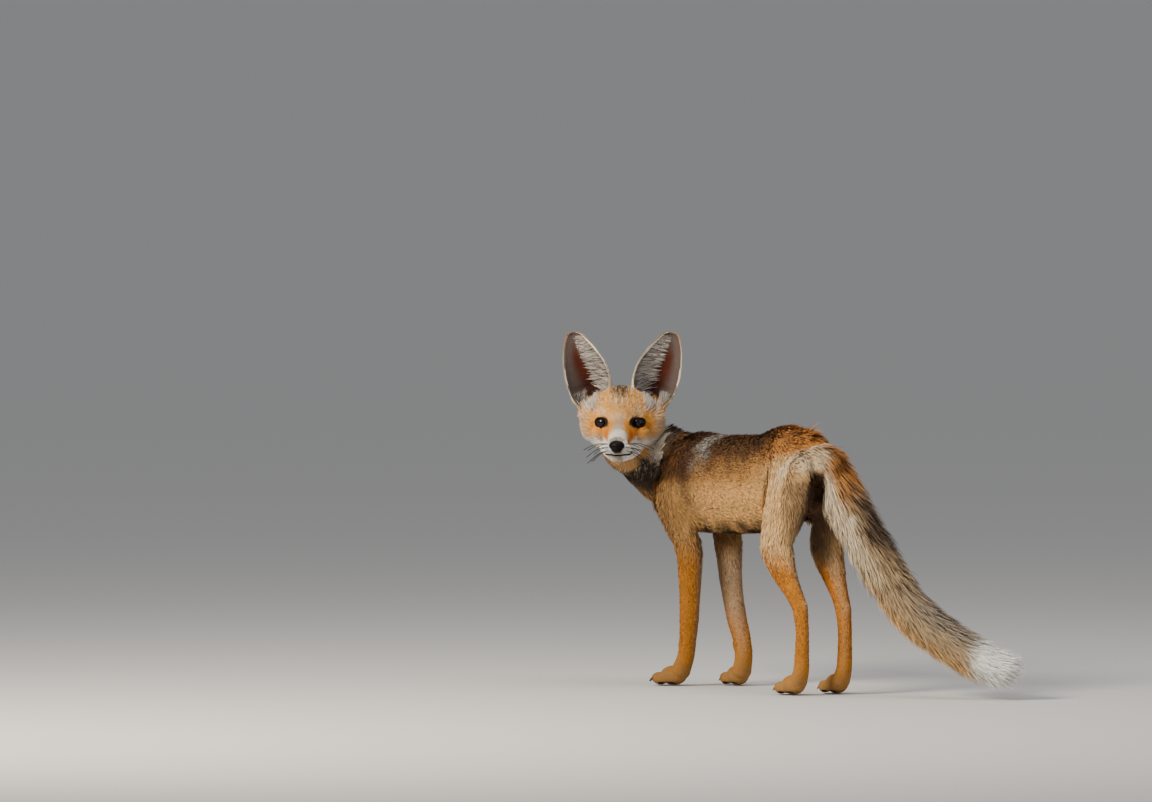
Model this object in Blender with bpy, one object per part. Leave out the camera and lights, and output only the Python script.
"""A life-size sand fox, standing on all four feet and looking back over its left shoulder.

The fox walks towards -Y, its left side is +X, and +Z is up. Lengths are in metres.
The flesh is drawn as swept tubes and ellipsoids that overlap. A voxel remesh melts them
into one hide, and thin cuts part that hide into the nodes that a person would name.
"""

import math

import bpy
import numpy as np
from mathutils import Matrix, Vector
from mathutils.bvhtree import BVHTree

# The gap between pieces that touch.
GAP = 0.0003

# The standing animal.
WITHERS_HEIGHT = 0.274
RUMP_HEIGHT = 0.290
CHEST_HEIGHT = 0.166
PAW_TOP = 0.033
LEG_TOP = 0.159

# The head looks back. Its centre lies between the ears, and its frame is forward, left, up.
HEAD_CENTRE = Vector((0.065, -0.162, 0.285))
HEAD_TURN = math.radians(142)
HEAD_FORWARD = Vector((math.sin(HEAD_TURN), -math.cos(HEAD_TURN), 0.0))
HEAD_LEFT = Vector((-HEAD_FORWARD.y, HEAD_FORWARD.x, 0.0))
HEAD_UP = Vector((0.0, 0.0, 1.0))

# Eyes, in the head's frame.
EYE_FORWARD = 0.0162
EYE_SIDE = 0.0178
EYE_UP = 0.0005
EYE_RADIUS = 0.0088
EYE_SPLAY = math.radians(18)
LID_THICKNESS = 0.0013
LID_HALF_WIDTH = 0.0080
LID_HALF_HEIGHT = 0.0050
LID_SLANT = math.radians(9)

# The line of the mouth runs round a point of the muzzle, rising towards its corners.
MOUTH_MIDDLE = 0.032
MOUTH_UP = -0.0354
MOUTH_CURVE = 0.0016

# Nose leather, in the head's frame.
NOSE_FORWARD = 0.0625
NOSE_UP = -0.0255
NOSE_HALF_WIDTH = 0.0080
NOSE_HALF_HEIGHT = 0.0060

# Ears: each is a cup that rises from the skull and leans outwards, drawn as sections up its length.
EAR_WALL = 0.0022
EAR_TURN = math.radians(12)
EAR_SECTIONS = [
    # forward, outward, up, half width, how far the wall wraps round to the front
    (-0.004, 0.0290, 0.004, 0.0160, 2.40),
    (-0.004, 0.0315, 0.016, 0.0215, 2.15),
    (-0.004, 0.0335, 0.028, 0.0245, 1.85),
    (-0.004, 0.0360, 0.040, 0.0255, 1.55),
    (-0.005, 0.0398, 0.054, 0.0252, 1.30),
    (-0.006, 0.0450, 0.069, 0.0213, 1.12),
    (-0.008, 0.0495, 0.082, 0.0160, 1.00),
    (-0.009, 0.0513, 0.089, 0.0122, 0.92),
    (-0.010, 0.0522, 0.094, 0.0092, 0.85),
    (-0.010, 0.0526, 0.0970, 0.0062, 0.80),
    (-0.010, 0.0527, 0.0984, 0.0026, 0.75),
]

# The tail hangs from the rump, then sweeps back and to the right just above the floor.
TAIL_START = Vector((0.0, 0.112, 0.0))
TAIL_WAY = Vector((-0.5, 0.866, 0.0))
TAIL_RUN = [
    # distance along the ground, height, half width
    (-0.008, 0.278, 0.0120),
    (0.006, 0.264, 0.0165),
    (0.029, 0.224, 0.0205),
    (0.057, 0.178, 0.0215),
    (0.083, 0.136, 0.0218),
    (0.115, 0.0955, 0.0212),
    (0.152, 0.0665, 0.0196),
    (0.200, 0.0405, 0.0174),
    (0.236, 0.0295, 0.0142),
    (0.262, 0.0225, 0.0060),
]
TAIL_CUTS = (0.34, 0.68)
TAIL_CORE = 0.50
TAIL_CORE_END = 0.86
LOCK_LENGTH = 0.062
LOCK_HALF_WIDTH = 0.0092
LOCK_HALF_THICKNESS = 0.0012
LOCK_TILT = 0.0026
LOCK_SPACING = 0.0300
LOCKS_AROUND = 6
LOCK_SEED = 5

# Triangles of each hide after thinning.
BODY_TRIANGLES = 3000
HEAD_TRIANGLES = 1550
PAW_TRIANGLES = 280
NOSE_TRIANGLES = 320

FUR_GOLD = ((0.56, 0.36, 0.19), 0.85)
FUR_SAND = ((0.62, 0.48, 0.33), 0.85)
FUR_RUFOUS = ((0.50, 0.29, 0.14), 0.85)
FUR_TAIL = ((0.42, 0.33, 0.24), 0.9)
FUR_WHITE = ((0.86, 0.84, 0.80), 0.9)
EAR_SKIN = ((0.55, 0.43, 0.36), 0.8)
NOSE_LEATHER = ((0.02, 0.018, 0.018), 0.45)
EYE_DARK = ((0.03, 0.015, 0.01), 0.08)


def clear_scene():
    """An empty scene to build in."""
    for leftover in list(bpy.data.objects):
        bpy.data.objects.remove(leftover)


def through(rows, count):
    """A smooth curve through the rows: cubic Hermite with the slopes of the neighbouring rows."""
    rows = np.array(rows, float)
    steps = np.linalg.norm(np.diff(rows[:, :3], axis=0), axis=1)
    knots = np.concatenate([[0.0], np.cumsum(np.maximum(steps, 1e-6))])
    slopes = np.gradient(rows, knots, axis=0)
    at = np.linspace(0.0, knots[-1], count)
    left = np.clip(np.searchsorted(knots, at, side="right") - 1, 0, len(rows) - 2)
    width = (knots[left + 1] - knots[left])[:, None]
    t = (at - knots[left])[:, None] / width
    return (
        (2 * t**3 - 3 * t**2 + 1) * rows[left]
        + (t**3 - 2 * t**2 + t) * width * slopes[left]
        + (-2 * t**3 + 3 * t**2) * rows[left + 1]
        + (t**3 - t**2) * width * slopes[left + 1]
    )


def mesh_object(name, points, faces):
    """A new object from points and faces."""
    mesh = bpy.data.meshes.new(name)
    mesh.from_pydata([tuple(p) for p in points], [], [tuple(f) for f in faces])
    mesh.update()
    made = bpy.data.objects.new(name, mesh)
    bpy.context.scene.collection.objects.link(made)
    return made


def tube_faces(rings, sides):
    """The quads between rings of points, then the two fans that close the ends."""
    faces = [
        (r * sides + s, r * sides + (s + 1) % sides, (r + 1) * sides + (s + 1) % sides, (r + 1) * sides + s)
        for r in range(rings - 1)
        for s in range(sides)
    ]
    first, last = rings * sides, rings * sides + 1
    top = (rings - 1) * sides
    faces += [(first, (s + 1) % sides, s) for s in range(sides)]
    faces += [(last, top + s, top + (s + 1) % sides) for s in range(sides)]
    return faces


def swept(name, stations, across, sides=20, rings=24, roundness=2.0, dome_steps=4):
    """A tube through stations of (x, y, z, half width along `across`, half width the other way).

    Its ends are domed, and roundness is the exponent of its superellipse section.
    """
    rows = through(stations, rings)
    centres, halves = rows[:, :3], np.maximum(rows[:, 3:5], 0.0005)
    tangents = np.gradient(centres, axis=0)
    tangents /= np.linalg.norm(tangents, axis=1)[:, None]
    dome = np.linspace(math.pi / 2, 0.0, dome_steps, endpoint=False)
    heights, scales = np.sin(dome)[:, None], np.cos(dome)[:, None]
    scales[0] = 0.02
    centres = np.concatenate([
        centres[0] - tangents[0] * heights * halves[0].min() * 0.9,
        centres,
        centres[-1] + tangents[-1] * heights[::-1] * halves[-1].min() * 0.9,
    ])
    halves = np.concatenate([halves[0] * scales, halves, halves[-1] * scales[::-1]])
    tangents = np.concatenate([
        np.repeat(tangents[:1], dome_steps, axis=0),
        tangents,
        np.repeat(tangents[-1:], dome_steps, axis=0),
    ])
    across = np.array(across, float)
    side = across - tangents * (tangents @ across)[:, None]
    side /= np.linalg.norm(side, axis=1)[:, None]
    other = np.cross(tangents, side)
    angles = np.arange(sides) * 2 * math.pi / sides
    cosines = np.sign(np.cos(angles)) * np.abs(np.cos(angles)) ** (2 / roundness)
    sines = np.sign(np.sin(angles)) * np.abs(np.sin(angles)) ** (2 / roundness)
    points = (
        centres[:, None]
        + side[:, None] * cosines[None, :, None] * halves[:, :1, None]
        + other[:, None] * sines[None, :, None] * halves[:, 1:, None]
    ).reshape(-1, 3)
    points = np.concatenate([points, centres[:1], centres[-1:]])
    return mesh_object(name, points, tube_faces(len(centres), sides))


def ellipsoid(name, centre, radii, forward=(0, -1, 0), segments=24):
    """An ellipsoid with radii along forward, left and up."""
    forward = Vector(forward).normalized()
    left = HEAD_UP.cross(forward).normalized()
    turn = Matrix((forward, left, forward.cross(left))).transposed()
    rows = segments // 2
    angles = np.linspace(-math.pi / 2, math.pi / 2, rows + 1)[1:-1]
    around = np.arange(segments) * 2 * math.pi / segments
    unit = np.stack([
        np.cos(angles)[:, None] * np.cos(around),
        np.cos(angles)[:, None] * np.sin(around),
        np.repeat(np.sin(angles)[:, None], segments, axis=1),
    ], axis=-1).reshape(-1, 3)
    unit = np.concatenate([unit, [[0, 0, -1], [0, 0, 1]]]) * np.array(radii)
    points = unit @ np.array(turn).T + np.array(centre)
    return mesh_object(name, points, tube_faces(rows - 1, segments))


def box(name, centre, size, turn=None):
    """A box, turned by a rotation matrix if one is given."""
    corners = [(x, y, z) for z in (-0.5, 0.5) for y in (-0.5, 0.5) for x in (-0.5, 0.5)]
    turn = turn or Matrix.Identity(3)
    points = [Vector(centre) + turn @ Vector((c[0] * size[0], c[1] * size[1], c[2] * size[2])) for c in corners]
    faces = [(0, 2, 3, 1), (4, 5, 7, 6), (0, 1, 5, 4), (2, 6, 7, 3), (0, 4, 6, 2), (1, 3, 7, 5)]
    return mesh_object(name, points, faces)


def join(name, parts):
    """One object from several. They stay separate bodies."""
    points, faces, start = [], [], 0
    for part in parts:
        points += [tuple(v.co) for v in part.data.vertices]
        faces += [tuple(start + i for i in p.vertices) for p in part.data.polygons]
        start = len(points)
        bpy.data.objects.remove(part)
    return mesh_object(name, points, faces)


def applied(obj):
    """The object with its modifiers applied."""
    bpy.context.view_layer.update()
    graph = bpy.context.evaluated_depsgraph_get()
    mesh = bpy.data.meshes.new_from_object(obj.evaluated_get(graph))
    obj.modifiers.clear()
    obj.data = mesh
    return obj


def melted(name, parts, voxel, rounds, triangles):
    """Melts overlapping bodies into one hide, smooths it, and thins it to a number of triangles."""
    obj = join(name, parts)
    remesh = obj.modifiers.new("melt", "REMESH")
    remesh.mode = "VOXEL"
    remesh.voxel_size = voxel
    smooth = obj.modifiers.new("smooth", "SMOOTH")
    smooth.factor = 0.5
    smooth.iterations = rounds
    applied(obj)
    thin = obj.modifiers.new("thin", "DECIMATE")
    thin.ratio = triangles / (2 * len(obj.data.polygons))
    obj.modifiers.new("triangles", "TRIANGULATE")
    return applied(obj)


def swollen(obj, swell, keep=1.0):
    """A copy of an object, swollen along its normals, with a share of its triangles kept."""
    twin = bpy.data.objects.new(obj.name + "_copy", obj.data.copy())
    bpy.context.scene.collection.objects.link(twin)
    if keep < 1.0:
        thin = twin.modifiers.new("thin", "DECIMATE")
        thin.ratio = keep
    displace = twin.modifiers.new("swell", "DISPLACE")
    displace.strength = swell
    displace.mid_level = 0.0
    return applied(twin)


def combine(obj, tools, operation="DIFFERENCE", solver="EXACT"):
    """Cuts tools away from an object, or unites them with it, and removes the tools."""
    group = bpy.data.collections.new("tools")
    bpy.context.scene.collection.children.link(group)
    for tool in tools:
        group.objects.link(tool)
    boolean = obj.modifiers.new("combine", "BOOLEAN")
    boolean.operation = operation
    boolean.solver = solver
    boolean.operand_type = "COLLECTION"
    boolean.collection = group
    applied(obj)
    for tool in tools:
        bpy.data.objects.remove(tool)
    bpy.data.collections.remove(group)
    return obj


def bodies(obj):
    """The separate surfaces of an object, as lists of (points, faces), largest volume first."""
    mesh = obj.data
    count = len(mesh.vertices)
    edges = np.empty(len(mesh.edges) * 2, int)
    mesh.edges.foreach_get("vertices", edges)
    edges = edges.reshape(-1, 2)
    label = np.arange(count)
    while True:
        low = np.minimum(label[edges[:, 0]], label[edges[:, 1]])
        settled = label.copy()
        np.minimum.at(settled, edges[:, 0], low)
        np.minimum.at(settled, edges[:, 1], low)
        settled = settled[settled]
        if (settled == label).all():
            break
        label = settled
    points = np.empty(count * 3)
    mesh.vertices.foreach_get("co", points)
    points = points.reshape(-1, 3)
    found = {}
    for polygon in mesh.polygons:
        found.setdefault(label[polygon.vertices[0]], []).append(tuple(polygon.vertices))
    pieces = []
    for faces in found.values():
        used = sorted({i for face in faces for i in face})
        place = {old: new for new, old in enumerate(used)}
        own_faces = [tuple(place[i] for i in face) for face in faces]
        own = points[used]
        volume = 0.0
        for face in own_faces:
            for a, b in zip(face[1:-1], face[2:]):
                volume += float(np.dot(own[face[0]], np.cross(own[a], own[b]))) / 6
        pieces.append((volume, own, own_faces))
    pieces.sort(key=lambda piece: -piece[0])
    return [(own, own_faces) for _, own, own_faces in pieces]


def largest(obj):
    """The object with only its largest closed surface."""
    name = obj.name
    points, faces = bodies(obj)[0]
    bpy.data.objects.remove(obj)
    return mesh_object(name, points, faces)


def parted(obj, names):
    """Splits an object into its bodies, each named by the marker point nearest to its middle."""
    found = bodies(obj)[:len(names)]
    bpy.data.objects.remove(obj)
    middles = [points.mean(axis=0) for points, _ in found]
    nodes = {}
    for name, marker in names.items():
        nearest = min(range(len(found)), key=lambda i: np.linalg.norm(middles[i] - np.array(marker)))
        nodes[name] = mesh_object(name, *found[nearest])
        middles[nearest] = np.full(3, 1e9)
    return nodes


def head_point(forward, left, up):
    """A point of the head's own frame, in the fox's frame."""
    return HEAD_CENTRE + HEAD_FORWARD * forward + HEAD_LEFT * left + HEAD_UP * up


def head_way(forward, left, up):
    """A direction of the head's own frame, in the fox's frame."""
    return (HEAD_FORWARD * forward + HEAD_LEFT * left + HEAD_UP * up).normalized()


def barrel():
    """The trunk, from the point of the chest to the buttocks."""
    profile = [
        # y, top, bottom, half width
        (-0.160, 0.238, 0.186, 0.022),
        (-0.138, 0.262, 0.173, 0.034),
        (-0.113, WITHERS_HEIGHT, 0.168, 0.039),
        (-0.070, 0.274, CHEST_HEIGHT, 0.042),
        (-0.020, 0.275, 0.167, 0.043),
        (0.030, 0.278, 0.171, 0.040),
        (0.065, 0.287, 0.178, 0.037),
        (0.090, RUMP_HEIGHT, 0.190, 0.035),
        (0.108, 0.283, 0.212, 0.028),
        (0.120, 0.267, 0.228, 0.018),
    ]
    stations = [(0.0, y, (top + low) / 2, half, (top - low) / 2) for y, top, low, half in profile]
    return swept("barrel", stations, (1, 0, 0), sides=28, rings=30, roundness=2.15)


def neck_tube():
    """The neck, which bends to the fox's left and carries the turned head."""
    stations = [
        (0.000, -0.100, 0.226, 0.033, 0.043),
        (0.001, -0.132, 0.229, 0.032, 0.045),
        (0.007, -0.160, 0.234, 0.030, 0.045),
        (0.019, -0.181, 0.243, 0.029, 0.043),
        (0.035, -0.190, 0.256, 0.029, 0.038),
        (0.050, -0.182, 0.268, 0.029, 0.032),
    ]
    return swept("neck_tube", stations, (1, -0.4, 0), sides=24, rings=24)


# Each leg as rows of x, y, z, half width fore and aft, half width across, for the fox's left side.
SHOULDER = [
    (0.018, -0.108, 0.256, 0.018, 0.010),
    (0.027, -0.114, 0.232, 0.026, 0.013),
    (0.031, -0.118, 0.205, 0.027, 0.016),
    (0.031, -0.104, 0.182, 0.024, 0.016),
]
HAUNCH = [
    (0.014, 0.072, 0.260, 0.026, 0.012),
    (0.023, 0.092, 0.240, 0.036, 0.017),
    (0.028, 0.100, 0.212, 0.037, 0.019),
    (0.031, 0.096, 0.185, 0.0305, 0.0175),
]
LEFT_FORELEG = SHOULDER + [
    (0.030, -0.088, 0.162, 0.020, 0.014),
    (0.030, -0.081, 0.142, 0.016, 0.013),
    (0.030, -0.080, 0.118, 0.0140, 0.0125),
    (0.029, -0.082, 0.092, 0.0120, 0.0115),
    (0.028, -0.085, 0.068, 0.0108, 0.0108),
    (0.027, -0.089, 0.048, 0.0098, 0.0098),
    (0.027, -0.093, 0.030, 0.0098, 0.0102),
    (0.029, -0.100, 0.015, 0.0100, 0.0115),
]
RIGHT_FORELEG = [(-x, y, z, fore, half) for x, y, z, fore, half in SHOULDER] + [
    (-0.029, -0.095, 0.162, 0.020, 0.014),
    (-0.027, -0.089, 0.142, 0.016, 0.013),
    (-0.026, -0.085, 0.118, 0.0138, 0.0125),
    (-0.026, -0.079, 0.092, 0.0120, 0.0117),
    (-0.026, -0.071, 0.068, 0.0112, 0.0112),
    (-0.026, -0.062, 0.048, 0.0102, 0.0102),
    (-0.026, -0.059, 0.030, 0.0102, 0.0106),
    (-0.026, -0.063, 0.015, 0.0100, 0.0115),
]
LEFT_HINDLEG = HAUNCH + [
    (0.032, 0.092, 0.163, 0.025, 0.015),
    (0.032, 0.098, 0.143, 0.020, 0.013),
    (0.031, 0.109, 0.124, 0.0150, 0.0108),
    (0.029, 0.121, 0.107, 0.0115, 0.0088),
    (0.027, 0.128, 0.094, 0.0104, 0.0080),
    (0.026, 0.131, 0.074, 0.0084, 0.0074),
    (0.026, 0.131, 0.045, 0.0086, 0.0080),
    (0.026, 0.129, 0.024, 0.0092, 0.0095),
    (0.026, 0.123, 0.013, 0.0090, 0.0110),
]
RIGHT_HINDLEG = [(-x, y, z, fore, half) for x, y, z, fore, half in HAUNCH] + [
    (-0.031, 0.094, 0.163, 0.025, 0.015),
    (-0.030, 0.101, 0.143, 0.020, 0.013),
    (-0.029, 0.112, 0.124, 0.0150, 0.0108),
    (-0.027, 0.125, 0.105, 0.0115, 0.0088),
    (-0.026, 0.133, 0.090, 0.0104, 0.0082),
    (-0.026, 0.136, 0.070, 0.0088, 0.0076),
    (-0.026, 0.136, 0.045, 0.0088, 0.0080),
    (-0.026, 0.134, 0.024, 0.0092, 0.0095),
    (-0.026, 0.128, 0.013, 0.0090, 0.0110),
]
# Each paw: its node, the rows of its leg, where its heel stands, its heading and its length.
PAWS = [
    ("forepaw_left", LEFT_FORELEG, (0.028, -0.098), math.radians(22), 0.040),
    ("forepaw_right", RIGHT_FORELEG, (-0.026, -0.061), math.radians(-4), 0.038),
    ("hind_foot_left", LEFT_HINDLEG, (0.026, 0.127), math.radians(4), 0.038),
    ("hind_foot_right", RIGHT_HINDLEG, (-0.026, 0.131), math.radians(-2), 0.038),
]
PAW_HALF_WIDTH = 0.0125
TOES = [
    # how far out, how far forward
    (-0.74, 0.56),
    (-0.26, 0.70),
    (0.26, 0.70),
    (0.74, 0.56),
]


def leg_tube(name, rows):
    """One leg from shoulder or hip to the sole."""
    return swept(name, rows, (0, 1, 0), sides=18, rings=44)


def paw_frame(heel, heading):
    """Where a paw's heel stands, and its forward and left directions."""
    forward = Vector((math.sin(heading), -math.cos(heading), 0.0))
    return Vector((heel[0], heel[1], 0.0)), forward, Vector((-forward.y, forward.x, 0.0))


def make_paw(name, rows, heel, heading, length):
    """A paw with its pads and four toes, cut flat where it stands, and with a claw on each toe."""
    heel, forward, left = paw_frame(heel, heading)
    parts = [leg_tube("leg", rows)]
    middle = heel + forward * length * 0.28 + HEAD_UP * 0.0105
    parts.append(ellipsoid("pad", middle, (length * 0.40, PAW_HALF_WIDTH * 0.92, 0.0115), forward))
    for out, reach in TOES:
        centre = heel + forward * length * reach + left * PAW_HALF_WIDTH * out + HEAD_UP * 0.0068
        splay = forward + left * out * 0.22
        parts.append(ellipsoid("toe", centre, (length * 0.24, 0.0044, 0.0074), splay, segments=20))
    paw = join(name, parts)
    combine(paw, [box("leg_above", (heel.x, heel.y, PAW_TOP + 0.25), (0.5, 0.5, 0.49))])
    paw = melted(name, [paw], 0.0011, 3, PAW_TRIANGLES)
    combine(paw, [
        box("above", (heel.x, heel.y, PAW_TOP + 0.1), (0.3, 0.3, 0.2)),
        box("floor", (heel.x, heel.y, -0.05), (0.3, 0.3, 0.1)),
    ])
    paw = largest(paw)
    claws = []
    for out, reach in TOES:
        tip = heel + forward * length * (reach + 0.215) + left * PAW_HALF_WIDTH * out * 1.12
        claws.append(swept("claw", [
            (*(tip - forward * 0.004 + HEAD_UP * 0.0072), 0.0011, 0.0016),
            (*(tip + HEAD_UP * 0.0064), 0.0010, 0.0014),
            (*(tip + forward * 0.0042 + HEAD_UP * 0.0036), 0.0004, 0.0005),
        ], left, sides=5, rings=3, dome_steps=1))
    return largest(combine(paw, claws, "UNION", "MANIFOLD"))


def head_forms():
    """The skull, cheeks, brows, muzzle, lips and eyelids."""
    def along(name, stations, roundness=2.0):
        rows = [
            (*head_point(forward, 0.0, (top + low) / 2), half, (top - low) / 2)
            for forward, top, low, half in stations
        ]
        return swept(name, rows, HEAD_LEFT, sides=28, rings=28, roundness=roundness)

    def lump(name, place, radii, aim=(1, 0, 0)):
        return ellipsoid(name, head_point(*place), radii, head_way(*aim))

    forms = [
        along("skull", [
            (-0.036, 0.022, -0.024, 0.028),
            (-0.024, 0.031, -0.033, 0.041),
            (-0.010, 0.0365, -0.037, 0.0455),
            (0.003, 0.035, -0.039, 0.0400),
            (0.014, 0.027, -0.038, 0.0270),
            (0.022, 0.018, -0.036, 0.0190),
        ]),
        along("bridge", [
            (0.006, 0.026, -0.030, 0.0190),
            (0.018, 0.018, -0.032, 0.0165),
            (0.030, 0.004, -0.034, 0.0138),
            (0.042, -0.0065, -0.034, 0.0122),
            (0.054, -0.0140, -0.034, 0.0108),
            (0.062, -0.0190, -0.034, 0.0085),
        ], roundness=2.3),
        along("jaw", [
            (0.004, -0.008, -0.0415, 0.0250),
            (0.020, -0.014, -0.0425, 0.0195),
            (0.034, -0.018, -0.0425, 0.0155),
            (0.048, -0.0215, -0.0412, 0.0132),
            (0.060, -0.0240, -0.0385, 0.0090),
        ], roundness=2.3),
        lump("chin", (0.0505, 0, -0.0380), (0.0095, 0.0072, 0.0050)),
    ]
    for side in (1, -1):
        forms += [
            lump("cheek", (-0.013, side * 0.0290, -0.008), (0.023, 0.0140, 0.018), (1, side * -0.35, -0.15)),
            lump("whisker_pad", (0.0500, side * 0.0085, -0.0285), (0.0125, 0.0080, 0.0070)),
            lump("brow", (0.0085, side * 0.0175, 0.0120), (0.0100, 0.0130, 0.0080)),
            ellipsoid("lids", eye_place(side), (EYE_RADIUS + LID_THICKNESS,) * 3, eye_way(side)),
        ]
    for height in (0.0015, -0.0015):
        rows = [(*point, 0.0013, 0.0013) for point in mouth_route(forms, height, 0.0005)]
        forms.append(swept("lip", rows, HEAD_UP, sides=10, rings=40))
    return forms


def mouth_route(forms, rise, inset):
    """The line of the mouth on the muzzle's surface, from the right corner to the left one."""
    points, faces = [], []
    for form in forms:
        faces += [tuple(len(points) + i for i in p.vertices) for p in form.data.polygons]
        points += [v.co.copy() for v in form.data.vertices]
    surface = BVHTree.FromPolygons(points, faces)
    route = []
    for degrees in range(-100, 101, 10):
        turn = math.radians(degrees)
        up = MOUTH_UP + MOUTH_CURVE * (1 - math.cos(turn)) + rise
        outward = head_way(math.cos(turn), math.sin(turn), 0.0)
        centre = head_point(MOUTH_MIDDLE, 0.0, up)
        hit = surface.ray_cast(centre + outward * 0.08, -outward)[0]
        route.append(hit - outward * inset)
    return route


def eye_place(side):
    """The middle of the left (1) or right (-1) eyeball."""
    return head_point(EYE_FORWARD, side * EYE_SIDE, EYE_UP)


def eye_way(side):
    """The direction in which that eye looks out of its socket."""
    return head_way(math.cos(EYE_SPLAY), side * math.sin(EYE_SPLAY), 0.03)


def almond(side):
    """The opening between the lids, as a prism whose outline is two arcs that meet in corners."""
    way = eye_way(side)
    outward = HEAD_UP.cross(way).normalized() * side
    upward = way.cross(outward * side).normalized()
    outward, upward = (
        outward * math.cos(LID_SLANT) + upward * math.sin(LID_SLANT),
        upward * math.cos(LID_SLANT) - outward * math.sin(LID_SLANT),
    )
    steps = 9
    outline = []
    for arc in (1, -1):
        for i in range(steps):
            along = arc * (1 - 2 * i / steps)
            outline.append((along * LID_HALF_WIDTH, arc * (1 - abs(along) ** 2.2) * LID_HALF_HEIGHT))
    rings = [
        [eye_place(side) + way * depth + outward * x * spread + upward * y * spread for x, y in outline]
        for depth, spread in ((0.0030, 0.92), (0.0160, 1.18))
    ]
    count = len(outline)
    centres = [eye_place(side) + way * 0.0030, eye_place(side) + way * 0.0160]
    made = mesh_object("almond", rings[0] + rings[1] + centres, tube_faces(2, count))
    if side < 0:
        made.data.flip_normals()
    return made


def nose_forms(swell=0.0):
    """The nose leather: broad above, narrow below, tucked into the end of the muzzle."""
    middle = head_point(NOSE_FORWARD, 0, NOSE_UP)
    return [
        ellipsoid("nose_top", middle + HEAD_UP * 0.0008,
                  (0.0075 + swell, NOSE_HALF_WIDTH + swell, NOSE_HALF_HEIGHT - 0.0008 + swell), HEAD_FORWARD),
        ellipsoid("nose_foot", middle - HEAD_UP * 0.0022 + HEAD_FORWARD * 0.0004,
                  (0.0070 + swell, NOSE_HALF_WIDTH * 0.74 + swell, 0.0048 + swell), HEAD_FORWARD),
    ]


def make_nose():
    """The nose leather with its two nostrils and the groove between them."""
    nose = melted("nose", nose_forms(), 0.0005, 3, NOSE_TRIANGLES)
    cuts = []
    for side in (1, -1):
        inner = head_point(NOSE_FORWARD + 0.0078, side * 0.0027, NOSE_UP + 0.0002)
        outer = head_point(NOSE_FORWARD + 0.0052, side * 0.0072, NOSE_UP - 0.0018)
        middle = head_point(NOSE_FORWARD + 0.0072, side * 0.0050, NOSE_UP - 0.0004)
        cuts.append(swept("nostril", [
            (*inner, 0.0016, 0.0016),
            (*middle, 0.0013, 0.0013),
            (*outer, 0.0005, 0.0006),
        ], HEAD_UP, sides=10, rings=7))
    cuts.append(swept("groove", [
        (*head_point(NOSE_FORWARD + 0.0079, 0, NOSE_UP + 0.0010), 0.0003, 0.0004),
        (*head_point(NOSE_FORWARD + 0.0075, 0, NOSE_UP - 0.0030), 0.0005, 0.0008),
        (*head_point(NOSE_FORWARD + 0.0060, 0, NOSE_UP - 0.0075), 0.0005, 0.0009),
    ], HEAD_LEFT, sides=8, rings=6))
    return largest(combine(nose, cuts))


def make_head():
    """The head, with sockets and lids round the eyes, the line of the mouth, and a seat for the nose."""
    head = melted("head", head_forms(), 0.0011, 4, HEAD_TRIANGLES)
    cuts = nose_forms(GAP)
    for side in (1, -1):
        cuts.append(ellipsoid("socket", eye_place(side), (EYE_RADIUS + GAP,) * 3, eye_way(side), 18))
        cuts.append(almond(side))
    rows = [(*point, 0.0006, 0.0020) for point in mouth_route([head], 0.0, 0.0)]
    cuts.append(swept("mouth", rows, HEAD_UP, sides=6, rings=24, dome_steps=1))
    return largest(combine(head, cuts, solver="MANIFOLD"))


def make_ear(side, name):
    """A cupped ear: a wall bent round the ear's axis, open to the front and rounded at its tip."""
    steps, spans = 17, 10
    rows = through(EAR_SECTIONS, steps)
    tangents = np.gradient(rows[:, :3], axis=0)
    outer, inner = [], []
    for (forward, out, up, half, wrap), tangent in zip(rows, tangents):
        axis = Vector((tangent[0], tangent[1] * side, tangent[2])).normalized()
        front = Vector((math.cos(EAR_TURN), side * math.sin(EAR_TURN), 0.0))
        front = (front - axis * front.dot(axis)).normalized()
        across = axis.cross(front)
        bend = min(wrap, math.pi / 2)
        radius = half / math.sin(bend)
        middle = Vector((forward, out * side, up)) + front * radius * math.cos(bend)
        wall = min(EAR_WALL, half * 0.8)
        for i in range(spans + 1):
            angle = wrap * (2 * i / spans - 1)
            way = across * math.sin(angle) - front * math.cos(angle)
            edge = 0.5 if i in (0, spans) else 1.0
            outer.append(head_point(*(middle + way * radius)))
            inner.append(head_point(*(middle + way * (radius - wall * edge))))
    row, offset = spans + 1, (spans + 1) * steps
    faces = []
    for r in range(steps - 1):
        for i in range(spans):
            a, b, c, d = r * row + i, r * row + i + 1, (r + 1) * row + i + 1, (r + 1) * row + i
            faces += [(d, c, b, a), (offset + a, offset + b, offset + c, offset + d)]
        for i, order in ((0, -1), (spans, 1)):
            a, d = r * row + i, (r + 1) * row + i
            faces.append((a, d, offset + d, offset + a)[::order])
    for r, order in ((0, 1), (steps - 1, -1)):
        for i in range(spans):
            a, b = r * row + i, r * row + i + 1
            faces.append((a, b, offset + b, offset + a)[::order])
    ear = mesh_object(name, outer + inner, faces)
    ear.modifiers.new("triangles", "TRIANGULATE")
    return applied(ear)


def tail_rows():
    """The tail's centreline and half widths, root first."""
    return [
        (*(TAIL_START + TAIL_WAY * run + HEAD_UP * height), half, half)
        for run, height, half in TAIL_RUN
    ]


def tail_frames(count):
    """Evenly spaced places along the tail: centres, half widths, and the ways along, sideways and over."""
    rows = through(tail_rows(), count)
    along = np.gradient(rows[:, :3], axis=0)
    along /= np.linalg.norm(along, axis=1)[:, None]
    sideways = np.cross(along, HEAD_UP)
    sideways /= np.linalg.norm(sideways, axis=1)[:, None]
    return rows[:, :3], rows[:, 3], along, sideways, np.cross(sideways, along)


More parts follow.
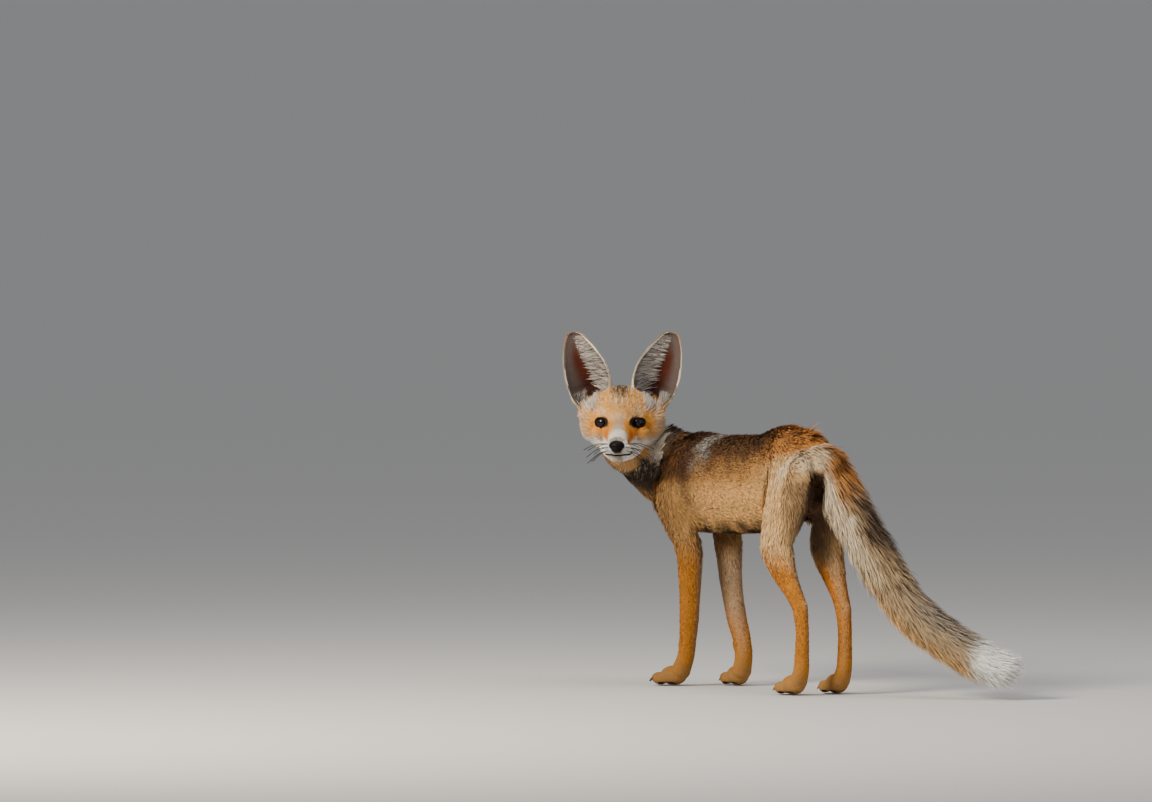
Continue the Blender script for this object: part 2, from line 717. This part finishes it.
def lock(at, turn, length, width, rise, curl):
    """A flat lock of fur that tapers to a point, from the tail's core out to its full width.

    `at` and `length` are shares of the tail, `turn` is its angle round the tail.
    """
    count = 201
    centres, halves, _, sideways, over = tail_frames(count)
    points = []
    shape = [(0.0, 0.75, 1.0), (0.36, 1.0, 1.0), (0.74, 0.72, 0.8), (1.0, 0.0, 0.0)]
    for share, spread, thick in shape:
        index = min(int(round((at + share * length) * (count - 1))), count - 1)
        angle = turn + curl * share
        out = sideways[index] * math.cos(angle) + over[index] * math.sin(angle)
        round_way = over[index] * math.cos(angle) - sideways[index] * math.sin(angle)
        inner = halves[index] * TAIL_CORE * 0.72
        centre = centres[index] + out * (inner + (halves[index] * rise - inner) * share**0.8)
        if share == 1.0:
            points.append(centre)
            continue
        wide = round_way * width * spread + out * LOCK_TILT * spread
        deep = out * LOCK_HALF_THICKNESS * thick
        points += [centre + wide, centre + deep, centre - wide, centre - deep]
    tip = len(points) - 1
    faces = [(3, 2, 1, 0)]
    for ring in (0, 4):
        for i in range(4):
            j = (i + 1) % 4
            faces += [(ring + i, ring + j, ring + 4 + j, ring + 4 + i)]
    faces += [(8 + i, 8 + (i + 1) % 4, tip) for i in range(4)]
    made = mesh_object("lock", points, faces)
    made.modifiers.new("triangles", "TRIANGULATE")
    return applied(made)


def tail_locks():
    """Rows of overlapping locks down the tail, each as the arguments of lock()."""
    random = np.random.default_rng(LOCK_SEED)
    centres = tail_frames(201)[0]
    total = np.linalg.norm(np.diff(centres, axis=0), axis=1).sum()
    rows = int(total * TAIL_CORE_END / LOCK_SPACING)
    locks = []
    for row in range(rows):
        at = (0.016 + row * LOCK_SPACING) / total
        for i in range(LOCKS_AROUND):
            turn = 2 * math.pi * (i + 0.5 * (row % 2)) / LOCKS_AROUND + random.uniform(-0.10, 0.10)
            length = min(LOCK_LENGTH / total, 1.01 - at) * random.uniform(0.88, 1.0)
            width = LOCK_HALF_WIDTH * random.uniform(0.9, 1.1) * min(1.0, 0.72 + at * 4, 0.5 + (1.0 - at) * 2.4)
            rise = random.uniform(0.93, 1.03)
            root = at + random.uniform(-0.006, 0.006)
            locks.append((root, turn, length, width, rise, random.uniform(-0.22, 0.22)))
    return locks


def make_tail(nodes):
    """The brush of the tail in three lengths: each a slim core with the locks that grow from it."""
    rows = through(tail_rows(), 101)
    end = int(TAIL_CORE_END * 100)
    core_rows = [(*row[:3], row[3] * TAIL_CORE, row[4] * TAIL_CORE) for row in rows[:end:6]]
    core = swept("tail", core_rows, (0.866, 0.5, 0), sides=10, rings=20, dome_steps=2)
    cutters = []
    for share in TAIL_CUTS:
        at = int(share * 100)
        way = Vector(rows[at + 1, :3] - rows[at - 1, :3]).normalized()
        cutters.append(box("tail_cut", rows[at, :3], (0.09, 0.09, GAP), way.to_track_quat("Z", "Y").to_matrix()))
    combine(core, cutters)
    cores = parted(core, {
        name: rows[at, :3] for name, at in (("tail_base", 17), ("tail_middle", 51), ("tail_tip", 80))
    })
    locks = tail_locks()
    before = nodes["torso"]
    bounds = (-1.0, *TAIL_CUTS, 2.0)
    for (name, core), low, high in zip(cores.items(), bounds, bounds[1:]):
        own = [lock(*shape) for shape in locks if low + 0.006 < shape[0] < high - 0.006]
        combine(core, own, "UNION", "MANIFOLD")
        core = largest(core)
        combine(core, [swollen(before, GAP)], solver="MANIFOLD")
        nodes[name] = before = largest(core)


def make_body():
    """Torso, neck and legs from one hide, parted by thin cuts."""
    legs = [leg_tube(name, rows) for name, rows, *_ in PAWS]
    body = melted("body", [barrel(), neck_tube()] + legs, 0.0018, 6, BODY_TRIANGLES)
    cutters = [box("paws", (0, 0, PAW_TOP + GAP - 0.1), (0.4, 0.6, 0.2))]
    for name, rows, *_ in PAWS:
        place = min(rows, key=lambda row: abs(row[2] - LEG_TOP))
        cutters.append(box("leg_cut", (place[0], place[1], LEG_TOP), (0.052, 0.075, GAP)))
    neck_turn = Matrix.Rotation(math.radians(53), 3, "X")
    cutters.append(box("neck_cut", (0, -0.136, 0.238), (0.12, 0.16, GAP), neck_turn))
    combine(body, cutters)
    return parted(body, {
        "torso": (0, 0, 0.225),
        "neck": (0.01, -0.17, 0.24),
        "foreleg_left": (0.029, -0.083, 0.10),
        "foreleg_right": (-0.024, -0.08, 0.10),
        "shank_left": (0.030, 0.115, 0.10),
        "shank_right": (-0.028, 0.118, 0.10),
    })


def finish(nodes):
    """Names, colours and places the nodes: the middle of the fox's footprint is the origin."""
    corners = np.array([v.co for node in nodes.values() for v in node.data.vertices])
    low, high = corners.min(axis=0), corners.max(axis=0)
    stance = bpy.data.objects.new("sand_fox", None)
    stance.location = (-(low[0] + high[0]) / 2, -(low[1] + high[1]) / 2, -low[2])
    bpy.context.scene.collection.objects.link(stance)
    looks = {
        "eye": EYE_DARK, "nose": NOSE_LEATHER, "ear": EAR_SKIN, "tail_tip": FUR_WHITE, "tail": FUR_TAIL,
        "foreleg": FUR_GOLD, "forepaw": FUR_SAND, "hind": FUR_SAND, "shank": FUR_GOLD, "neck": FUR_RUFOUS,
    }
    for name, node in nodes.items():
        look = next((looks[key] for key in looks if name.startswith(key)), FUR_SAND)
        material = bpy.data.materials.new(name)
        material.use_nodes = True
        surface = material.node_tree.nodes["Principled BSDF"]
        surface.inputs["Base Color"].default_value = (*look[0], 1.0)
        surface.inputs["Roughness"].default_value = look[1]
        surface.inputs["Metallic"].default_value = 0.0
        node.data.materials.clear()
        node.data.materials.append(material)
        node.data.shade_smooth()
        middle = Vector(np.array([v.co for v in node.data.vertices]).mean(axis=0))
        node.data.transform(Matrix.Translation(-middle))
        node.location = middle
        node.parent = stance
        node.name = name


def main():
    clear_scene()
    nodes = make_body()
    nodes["head"] = make_head()
    combine(nodes["neck"], [swollen(nodes["head"], 2 * GAP, keep=0.3)])
    nodes["neck"] = largest(nodes["neck"])
    nodes["nose"] = make_nose()
    for side, word in ((1, "left"), (-1, "right")):
        nodes["eye_" + word] = ellipsoid("eye_" + word, eye_place(side), (EYE_RADIUS,) * 3, eye_way(side), 18)
        ear = make_ear(side, "ear_" + word)
        combine(ear, [swollen(nodes["head"], GAP)])
        nodes["ear_" + word] = largest(ear)
    for name, rows, heel, heading, length in PAWS:
        nodes[name] = make_paw(name, rows, heel, heading, length)
    make_tail(nodes)
    finish(nodes)


main()
